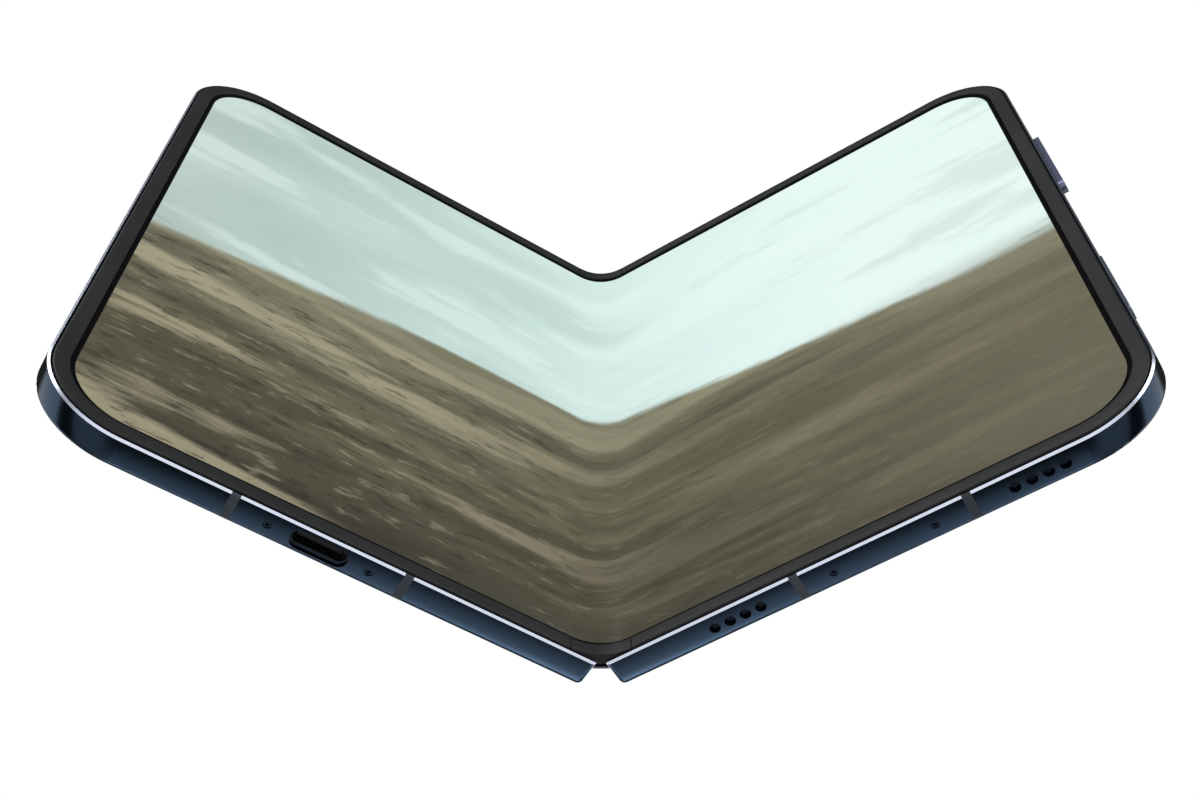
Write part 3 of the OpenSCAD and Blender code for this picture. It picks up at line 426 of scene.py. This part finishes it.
def stations(start_u):
    """(u, z) points of the outline from start_u and back to it, each with its inward direction."""
    edge_u, top_z = HALF_W - CORNER_R, PHONE_H - CORNER_R
    places = [((start_u, 0), (0, 1))]
    for centre_z, turn in ((CORNER_R, -90), (top_z, 0)):
        for k in range(CORNER_STEPS + 1):
            a = math.radians(turn + 90 * k / CORNER_STEPS)
            x, y = math.cos(a), math.sin(a)
            places.append(((edge_u + CORNER_R * x, centre_z + CORNER_R * y), (-x, -y)))
    return places + [((start_u, PHONE_H), (0, -1))]


def swept(bm, section, start_u, side):
    """Sweeps a closed section of (distance in, depth v) points along the outline."""
    rows = []
    for (u, z), (in_u, in_z) in stations(start_u):
        rows.append([folded(u + e * in_u, v, z + e * in_z, side) for e, v in section])
    tube(bm, rows)


print("stations along the outline:", len(stations(0)))

# %% [markdown]
# The inner display is one flexible sheet. It is made here as two pieces that meet in the middle of
# the spine, because a piece can bend between two bodies only. Half open, the sheet runs from half
# to half in one round arc, and each half's flat face is a tangent of it.

# %% Bend of the display
DISPLAY = flat_box("right_display", RIGHT)
BEND_U = DISPLAY[0].x
BEND_REACH = PIVOT.x + BEND_U
ARC_V = -(PIVOT.x + BEND_U * COS) / SIN
ARC_Y = PIVOT.y - BEND_U * SIN + ARC_V * COS


def bent(s, v, z, side):
    """A point of the sheet at distance s from the middle of the spine and depth v."""
    if s >= BEND_REACH:
        return folded(s - PIVOT.x, v, z, side)
    a = REST * s / BEND_REACH
    return Vector((side * (v - ARC_V) * math.sin(a), ARC_Y + (v - ARC_V) * math.cos(a), z))


def along_sheet(point, side):
    """The distance s of a point of the sheet from the middle of the spine."""
    u = flat(point, side).x
    if u >= BEND_U:
        return PIVOT.x + u
    return BEND_REACH * math.atan2(side * point.x, point.y - ARC_Y) / REST


def joined(piece, side):
    """Bakes a piece's placement into its mesh."""
    end = folded(BEND_U, DISPLAY[0].y, 0, side)
    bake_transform(piece)


print("bend reaches", round(BEND_REACH / MM, 2), "mm, radius", round(-ARC_V / MM, 2), "mm")

# %% Display sheets
SCREEN_IN = DISPLAY[0].z
SCREEN_R = CORNER_R - SCREEN_IN
SCREEN_REACH = PIVOT.x + DISPLAY[1].x
BEND_COLUMNS = 24
FLAT_COLUMNS = 6
CORNER_COLUMNS = 16
SCREEN_ROWS = 12


def screen_columns():
    """Distances s of the sheet's columns, close together in the bend and in the corners."""
    columns = [BEND_REACH * k / BEND_COLUMNS for k in range(BEND_COLUMNS + 1)]
    corner = SCREEN_REACH - SCREEN_R
    columns += [BEND_REACH + (corner - BEND_REACH) * k / FLAT_COLUMNS
                for k in range(1, FLAT_COLUMNS + 1)]
    return columns + [corner + SCREEN_R * math.sin(math.pi / 2 * k / CORNER_COLUMNS)
                      for k in range(1, CORNER_COLUMNS + 1)]


def screen_inset(s):
    """How far the sheet's ends draw in at distance s, in its rounded corners."""
    over = max(0, s - (SCREEN_REACH - SCREEN_R))
    return SCREEN_R - math.sqrt(max(0, SCREEN_R ** 2 - over ** 2))


def screen_layer(bm, v, side):
    """Columns of points over the whole sheet of one side, at depth v."""
    layer = []
    for s in screen_columns():
        z0 = SCREEN_IN + screen_inset(s)
        heights = [z0 + (PHONE_H - 2 * z0) * k / SCREEN_ROWS for k in range(SCREEN_ROWS + 1)]
        layer.append([bm.verts.new(bent(s, v, z, side)) for z in heights])
    return layer


def map_sheet(mesh, side):
    """Lays one UV map over both sheets, across from side to side and up along the hinge."""
    uv = mesh.uv_layers.new(name="sheet")
    for loop in mesh.loops:
        point = mesh.vertices[loop.vertex_index].co
        s = along_sheet(point, side)
        uv.data[loop.index].uv = (0.5 + side * s / (2 * SCREEN_REACH), point.z / PHONE_H)


def screen(side, material):
    bm = bmesh.new()
    front = screen_layer(bm, DISPLAY[0].y, side)
    back = screen_layer(bm, DISPLAY[1].y, side)
    wide = len(front) - 1
    for i in range(wide):
        for j in range(SCREEN_ROWS):
            bm.faces.new((front[i][j], front[i + 1][j], front[i + 1][j + 1], front[i][j + 1]))
            bm.faces.new((back[i][j], back[i][j + 1], back[i + 1][j + 1], back[i + 1][j]))
        for j in (0, SCREEN_ROWS):
            bm.faces.new((front[i][j], back[i][j], back[i + 1][j], front[i + 1][j]))
    for i in (0, wide):
        for j in range(SCREEN_ROWS):
            bm.faces.new((front[i][j], front[i][j + 1], back[i][j + 1], back[i][j]))
    made = solid(f"screen_{SIDES[side]}", bm, material)
    map_sheet(made.data, side)
    joined(made, side)
    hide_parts(f"{SIDES[side]}_display", "display_fold")

# %% [markdown]
# What the display shows is a picture of our own: rolling dunes under a pale mint sky, painted by
# the shader from the sheet's own UV map, so that it runs across the fold without a break. Each dune
# is lit along its crest and darkens below it. A black border is left round the lit area. The
# picture's measures are in millimetres of the flat sheet, from its middle and from its bottom.

# %% Dunes under a pale sky
BORDER = 0.8 * MM
LIT_IN = RIM_IN + BORDER
LIT_BLUR = 0.03
SKY = [paint(176, 195, 189), paint(205, 230, 224), paint(230, 249, 245)]
TAN = paint(172, 165, 138)
SHADOW = paint(44, 41, 33)
HILL_SHADE = paint(74, 74, 62)
SLOPE = paint(124, 119, 99)
PANEL_BLACK = (0.004, 0.004, 0.005)
NOISE_MEAN = 2.8
# Each dune: height, swing, width and start of its wave, depth of its light, lit and shaded colour.
DUNES = [
    (59, 4.5, 30, 2.2, 16, paint(140, 138, 114), paint(106, 104, 84)),
    (50, 6.0, 24, 0.4, 18, paint(118, 116, 94), paint(92, 89, 70)),
    (38, 5.0, 33, 4.4, 16, paint(112, 109, 88), paint(86, 82, 65)),
    (27, 5.5, 21, 1.5, 15, paint(102, 98, 78), paint(76, 71, 58)),
    (14, 4.0, 28, 3.3, 14, paint(88, 84, 68), paint(64, 60, 50)),
]


def wallpaper(shader):
    across, up, _ = shader.parts(shader.uv())
    s = (across - 0.5) * (2 * SCREEN_REACH / MM)
    z = up * (PHONE_H / MM)
    sheet = shader.node("ShaderNodeCombineXYZ", None, s, z, 0.0)
    haze = shader.noise(shader.stretched(sheet, (0.012, 0.03, 1)), 1.0, 3.0)
    streaks = shader.noise(shader.stretched(sheet, (0.022, 0.15, 1)), 1.0, 8.0, 0.6)
    bands = shader.noise(shader.stretched(sheet, (0.009, 0.085, 1)), 1.0, 5.0, 0.55)
    pebbles = shader.noise(shader.stretched(sheet, (0.16, 0.6, 1)), 1.0, 6.0, 0.62)
    clouds = shader.noise(shader.stretched(sheet, (0.02, 0.09, 1)), 1.0, 7.0, 0.58)

    sky = shader.blend(s.rise(-84, 10), SKY[0], SKY[1])
    sky = shader.blend((s + haze * 60).rise(10, 80), sky, SKY[2])
    sky = shader.blend(haze.rise(0.42, 0.7) * 0.35, sky, SKY[2])
    sky = shader.blend(clouds.rise(0.5, 0.62) * 0.4, sky, SKY[2])
    sky = shader.blend(clouds.rise(0.48, 0.36) * 0.3, sky, SKY[0])
    picture = sky
    for base, swing, width, start, depth, lit, shaded in DUNES:
        wave = (s * (1 / width) + start).math("SINE") * swing
        crest = wave + streaks * 4 + pebbles * 1.5 + (base - NOISE_MEAN)
        below = crest - z
        tone = shader.blend(below.rise(0, depth), lit, shaded)
        tone = shader.blend(streaks.rise(0.45, 0.6) * 0.55, tone, shaded)
        tone = shader.blend(streaks.rise(0.5, 0.36) * 0.35, tone, lit)
        picture = shader.blend(below.rise(-0.9, 1.2), picture, tone)
    ground = (DUNES[0][0] + 2 - z).rise(0, 8)
    left = s.rise(20, -50)
    picture = shader.blend(bands.rise(0.5, 0.58) * ground * (left * 0.6 + 0.12), picture, TAN)
    picture = shader.blend(bands.rise(0.47, 0.4) * ground * 0.6, picture, HILL_SHADE)
    picture = shader.blend(pebbles.rise(0.56, 0.66) * ground * (left * 0.25 + 0.1), picture, TAN)
    picture = shader.blend(pebbles.rise(0.45, 0.36) * ground * (left * 0.35 + 0.2), picture, SHADOW)
    picture = shader.blend(s.rise(15, 80) * ground * 0.5, picture, SLOPE)

    radius = (CORNER_R - LIT_IN) / MM
    over_s = (s.absolute() - ((HALF_W + PIVOT.x - LIT_IN) / MM - radius)).most(0)
    over_z = ((z - PHONE_H / MM / 2).absolute() - ((PHONE_H / 2 - LIT_IN) / MM - radius)).most(0)
    off_corner = (over_s * over_s + over_z * over_z).math("SQRT")
    lit_area = off_corner.rise(radius + LIT_BLUR, radius - LIT_BLUR)
    return {
        "Base_Color": PANEL_BLACK,
        "Roughness": 0.12,
        "Specular_IOR_Level": 0.25,
        "Emission_Color": shader.blend(lit_area, (0.0, 0.0, 0.0), picture),
        "Emission_Strength": 1.0,
    }


SCREEN_ON = finish("screen", wallpaper)
for side in SIDES:
    screen(side, SCREEN_ON)

# %% [markdown]
# The rim is a soft rubber frame that stands a little proud of the display and keeps the two halves
# apart when the phone is shut. Its top corners are rounded and its inner lip lies over the edge of
# the display. Across the fold it gives way to a thin soft cap, which bends with the sheet.

# %% Rims and fold caps
RIM_FOOT = RIM_OUT + 1.7 * MM
LIP_SINK = 0.04 * MM
RIM_OUTER_R = 0.26 * MM
RIM_INNER_R = 0.14 * MM
CAP_END = PIVOT.x + 4.2 * MM
CAP_COLUMNS = 26
CAP_TOP = RIM[0].y + 0.02 * MM
CAP_T = 0.36 * MM
CAP_FOOT = RIM[0].y + 1.2 * MM
CAP_R = 0.12 * MM
ROUND_STEPS = 5


def lip_section(top, under, foot, outer_r, inner_r):
    """A lip over the display's edge, its top corners rounded, and a foot outside that edge."""
    points = [(RIM_OUT, foot)]
    for centre, radius, turn in ((RIM_OUT + outer_r, outer_r, 180), (RIM_IN - inner_r, inner_r, 270)):
        for k in range(ROUND_STEPS + 1):
            a = math.radians(turn + 90 * k / ROUND_STEPS)
            points.append((centre + radius * math.cos(a), top + radius + radius * math.sin(a)))
    return points + [(RIM_IN, under), (RIM_FOOT, under), (RIM_FOOT, foot)]


def rim(side):
    bm = bmesh.new()
    section = lip_section(RIM[0].y, DISPLAY[0].y - LIP_SINK, RIM[1].y, RIM_OUTER_R, RIM_INNER_R)
    swept(bm, section, RIM[0].x, side)
    name, body = f"rim_{SIDES[side]}", f"{SIDES[side]}_half"
    made = solid(name, bm, RIM_RUBBER, body, SOFT_SHARP)
    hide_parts(f"{SIDES[side]}_rim")


def fold_cap(side):
    bm = bmesh.new()
    section = lip_section(CAP_TOP, CAP_TOP + CAP_T, CAP_FOOT, CAP_R, CAP_R)
    for top in (False, True):
        rows = []
        for k in range(CAP_COLUMNS + 1):
            s = CAP_END * k / CAP_COLUMNS
            rows.append([bent(s, v, PHONE_H - e if top else e, side) for e, v in section])
        tube(bm, rows)
    made = solid(f"fold_cap_{SIDES[side]}", bm, RIM_RUBBER, sharp=SOFT_SHARP)
    joined(made, side)
    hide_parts("fold_caps")


for side in SIDES:
    rim(side)
for side in SIDES:
    fold_cap(side)

# %% [markdown]
# Two more thin strips cross the fold behind the display: its metal backing and the flat cable that
# joins the electronics of the halves. They bend with the display, so they are made in the same way.

# %% Strips behind the fold
STRIP_COLUMNS = 14
END_BAND = 0.01 * MM


def fold_strip(node, name, material, side):
    """One half of a strip that a CAD node shows, from the middle of the spine to its end."""
    vertices = frame["nodes"][node].data.vertices
    points = [flat(vertex.co, side) for vertex in vertices]
    reach = max(along_sheet(vertex.co, RIGHT) for vertex in vertices)
    end_u = max(p.x for p in points)
    depths = [p.y for p in points if p.x > end_u - END_BAND]
    v0, v1 = min(depths), max(depths)
    z0, z1 = min(p.z for p in points), max(p.z for p in points)
    section = [(v0, z0), (v0, z1), (v1, z1), (v1, z0)]
    bm = bmesh.new()
    tube(bm, [[bent(reach * k / STRIP_COLUMNS, v, z, side) for v, z in section]
              for k in range(STRIP_COLUMNS + 1)])
    made = solid(f"{name}_{SIDES[side]}", bm, material)
    joined(made, side)
    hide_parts(node)


for side in SIDES:
    fold_strip("display_fold_backing", "fold_backing", STEEL, side)
    fold_strip("hinge_flex", "flex_cable", COPPER, side)

# %% [markdown]
# Small parts that repeat are placed by Geometry Nodes. The tree below takes a mesh of bare points
# and a template, sets a copy of the template on every point, makes the copies real and gives them
# their finish. The result is turned into a plain mesh, because instances don't survive an export.

# %% Copies of a template
def copy_tree(material):
    """Geometry Nodes that set a copy of the template on every point, and their input sockets."""
    tree = bpy.data.node_groups.new("copies", "GeometryNodeTree")
    sockets = {}
    for label, kind in (("Points", "Geometry"), ("Template", "Object"), ("Size", "Float")):
        made = tree.interface.new_socket(label, in_out="INPUT", socket_type=f"NodeSocket{kind}")
        sockets[label] = made.identifier
    tree.interface.new_socket("Copies", in_out="OUTPUT", socket_type="NodeSocketGeometry")
    graph = Shader(tree)
    start = tree.nodes.new("NodeGroupInput")
    points, template, size = [Wire(graph, start.outputs[label]) for label in sockets]
    shape = graph.node("GeometryNodeObjectInfo", None, template, out="Geometry")
    placed = graph.node("GeometryNodeInstanceOnPoints", None, points, Instance=shape, Scale=size)
    real = graph.node("GeometryNodeRealizeInstances", None, placed)
    finished = graph.node("GeometryNodeSetMaterial", None, real, Material=material)
    graph.node("NodeGroupOutput", None, finished)
    return tree, sockets


def copies(name, places, template, material, side, size=1.0):
    """A steel piece made of copies of a template, one at each place, riding on a half."""
    points = bpy.data.meshes.new("places")
    points.from_pydata([tuple(place) for place in places], [], [])
    carrier = linked("places", points)
    tree, sockets = copy_tree(material)
    modifier = carrier.modifiers.new("copies", "NODES")
    modifier.node_group = tree
    modifier[sockets["Template"]] = template
    modifier[sockets["Size"]] = size
    graph = bpy.context.evaluated_depsgraph_get()
    mesh = bpy.data.meshes.new_from_object(carrier.evaluated_get(graph))
    carrier.modifiers.remove(modifier)
    for used in (carrier, template):
        bpy.data.objects.remove(used)
    mesh.name = name
    made = linked(name, mesh)
    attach(made, f"{SIDES[side]}_half")
    print(f"{name}: {len(places)} copies, {len(mesh.polygons)} faces")
    return made

# %% [markdown]
# The case screws have a six-lobed socket. A lathe profile alone can't give that, so the head is a
# stack of rings, round outside and lobed inside, joined from the back of the head to the bottom of
# the socket.

# %% Case screws
SCREW_STEPS = 48
SOCKET_LOBES = 6
SOCKET_R = 0.27 * MM
SOCKET_LOBE = 0.05 * MM
SOCKET_DEPTH = 0.3 * MM
MOUTH = 0.03 * MM
HEAD_T = 0.45 * MM
HEAD_EDGE = 0.05 * MM
HEAD_EDGE_T = 0.07 * MM


def screw_ring(radius, z, lobe=0.0):
    ring = []
    for k in range(SCREW_STEPS):
        a = 2 * math.pi * k / SCREW_STEPS
        reach = radius + lobe * math.cos(SOCKET_LOBES * a)
        ring.append(Vector((reach * math.cos(a), reach * math.sin(a), z)))
    return ring


def screw_template(head_r):
    bm = bmesh.new()
    tube(bm, [
        screw_ring(head_r, HEAD_T),
        screw_ring(head_r, HEAD_EDGE_T),
        screw_ring(head_r - HEAD_EDGE, 0),
        screw_ring(SOCKET_R + MOUTH, 0, SOCKET_LOBE),
        screw_ring(SOCKET_R, MOUTH, SOCKET_LOBE),
        screw_ring(SOCKET_R, SOCKET_DEPTH, SOCKET_LOBE),
    ])
    return shaped("template", bm, SCREW_METAL)


def case_screws(side):
    node = f"{SIDES[side]}_case_screws"
    low, high = flat_box(node, side)
    head_r = (high.y - low.y) / 2
    middle_v = (low.y + high.y) / 2
    places = [folded(u, middle_v, low.z, side) for u in (low.x + head_r, high.x - head_r)]
    template = screw_template(head_r)
    made = copies(f"screws_{SIDES[side]}", places, template, SCREW_METAL, side)
    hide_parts(node)


for side in SIDES:
    case_screws(side)

# %% [markdown]
# Behind each speaker hole lies a fine woven mesh that keeps dust out. Only the raised crossings of
# its wires show through the holes, so the weave is a grid of small beads on the mesh's face.

# %% Speaker weave
WEAVE_PITCH = 0.26 * MM
BEAD_R = 0.085 * MM


def bead_template():
    bm = bmesh.new()
    bmesh.ops.create_icosphere(bm, subdivisions=1, radius=1.0)
    return shaped("template", bm, SPEAKER_WEAVE)


def weave_places(side):
    """Grid points on the outward face of the two speaker meshes."""
    vertices = frame["nodes"]["speaker_meshes"].data.vertices
    points = [flat(vertex.co, side) for vertex in vertices]
    middle = (min(p.x for p in points) + max(p.x for p in points)) / 2
    low_z = min(p.z for p in points)
    places = []
    for group in ([p for p in points if p.x < middle], [p for p in points if p.x > middle]):
        u0, u1 = min(p.x for p in group), max(p.x for p in group)
        v0, v1 = min(p.y for p in group), max(p.y for p in group)
        across, down = int((u1 - u0) / WEAVE_PITCH), int((v1 - v0) / WEAVE_PITCH)
        for i in range(1, across):
            for j in range(1, down):
                u = u0 + WEAVE_PITCH * (i + 0.5 * (j % 2))
                places.append(folded(u, v0 + WEAVE_PITCH * j, low_z, side))
    return places


copies("speaker_weave", weave_places(RIGHT), bead_template(), SPEAKER_WEAVE, RIGHT, BEAD_R)

# %% [markdown]
# The floor is a plain pale sheet under the phone. The camera looks up from beneath it, so the
# floor shows only to a camera that is above it, and lets all other light through. Far from the
# phone it turns to the white of the world, so that its edge never shows. That change runs between
# two squares of the distance, in square metres.

# %% Floor
FLOOR_DROP = 0.2 * MM
FLOOR_REACH = 6
MATT_TO, WHITE_FROM = 0.01, 0.3


def pale_floor():
    """Matt near the phone, white far from it, and clear to all but the camera above it."""
    material = bpy.data.materials.new("pale_floor")
    material.use_nodes = True
    shader = Shader(material.node_tree)
    camera_ray = shader.node("ShaderNodeLightPath", out="Is Camera Ray")
    underside = shader.node("ShaderNodeNewGeometry", out="Backfacing")
    clear = shader.node("ShaderNodeBsdfTransparent")
    matt = shader.node("ShaderNodeBsdfDiffuse", None, paint(240, 241, 243))
    white = shader.node("ShaderNodeEmission", None, (1.0, 1.0, 1.0), 1.0)
    x, y, _ = shader.parts(shader.place())
    away = (x * x + y * y).rise(MATT_TO, WHITE_FROM)
    sheet = shader.node("ShaderNodeMixShader", None, away, matt, white)
    surface = shader.node("ShaderNodeMixShader", None, camera_ray * (1 - underside), clear, sheet)
    shader.node("ShaderNodeOutputMaterial", None, surface)
    return material


def lay_floor():
    bm = bmesh.new()
    bmesh.ops.create_grid(bm, x_segments=1, y_segments=1, size=FLOOR_REACH)
    bmesh.ops.translate(bm, verts=bm.verts, vec=(0, 0, -FLOOR_DROP))
    mesh = bpy.data.meshes.new("floor")
    bm.to_mesh(mesh)
    bm.free()
    mesh.materials.append(pale_floor())
    linked("floor", mesh)


lay_floor()
print("floor lies", round(FLOOR_DROP / MM, 2), "mm under the phone")

# %% [markdown]
# The world is white where the camera looks. What the glossy metal sees is a studio. It is bright
# low in front of the phone, bright on both sides down to just below the horizon, half bright high
# behind the phone and black overhead. Underneath, a soft glow grows towards the back and ends in
# one bright strip, which runs along the back edge of the bottom rails as a line. All other rays
# see an even grey.

# %% World
def studio(shader):
    way = shader.node("ShaderNodeTexCoord", out="Generated")
    x, y, z = shader.parts(way)
    down = z * -1
    front = (y * -1).rise(0.2, 0.5) * z.rise(-0.15, -0.45, 0.2, 1.0)
    behind = y.rise(0.3, 0.6) * (z.rise(0.05, 0.2) * 0.5 + 0.1)
    strip = y.rise(0.36, 0.7) * 0.75 + y.rise(0.69, 0.72) * 3.5
    sides = x.absolute().rise(0.6, 0.85) * down.rise(0.2, 0.1)
    low_sides = x.absolute().rise(0.25, 0.5) * 0.35
    low = down.rise(0.46, 0.54)
    under = (strip * y.rise(0.77, 0.74)).most(low_sides)
    level = (under * low).most(front).most(behind).most(sides * (1 - low)) * z.rise(0.62, 0.45)
    camera_ray = shader.node("ShaderNodeLightPath", out="Is Camera Ray")
    glossy_ray = shader.node("ShaderNodeLightPath", out="Is Glossy Ray")
    dim = level * 0.96 + 0.03
    strength = camera_ray.most(glossy_ray * dim).most((1 - camera_ray.most(glossy_ray)) * 0.55)
    return shader.node("ShaderNodeBackground", None, (1.0, 1.0, 1.0), strength)


world = bpy.data.worlds.new("studio")
world.use_nodes = True
SCENE.world = world
world_shader = Shader(world.node_tree)
world_shader.node("ShaderNodeOutputWorld", None, studio(world_shader))

# %% [markdown]
# Three large soft lamps light the phone: the key from the left, the fill from the right and a third
# one from behind. The camera doesn't see them.

# %% Lamps
MIDDLE = Vector((0, 0, PHONE_H / 2))


def softbox(name, place, width, height, power):
    """A lamp of width by height metres that shines at the middle of the phone."""
    lamp = bpy.data.lights.new(name, "AREA")
    lamp.shape = "RECTANGLE"
    lamp.size, lamp.size_y = width, height
    lamp.energy = power
    made = linked(name, lamp)
    made.location = place
    made.rotation_euler = (MIDDLE - Vector(place)).to_track_quat("-Z", "Y").to_euler()
    made.visible_camera = False


softbox("key", (-0.4, -0.65, 0.45), 0.7, 0.7, 4.0)
softbox("fill", (0.55, -0.5, 0.15), 0.6, 0.6, 2.5)
softbox("back_light", (0.0, 0.7, 0.35), 0.9, 0.6, 3.0)
print("lamps:", [lamp.name for lamp in bpy.data.lights])
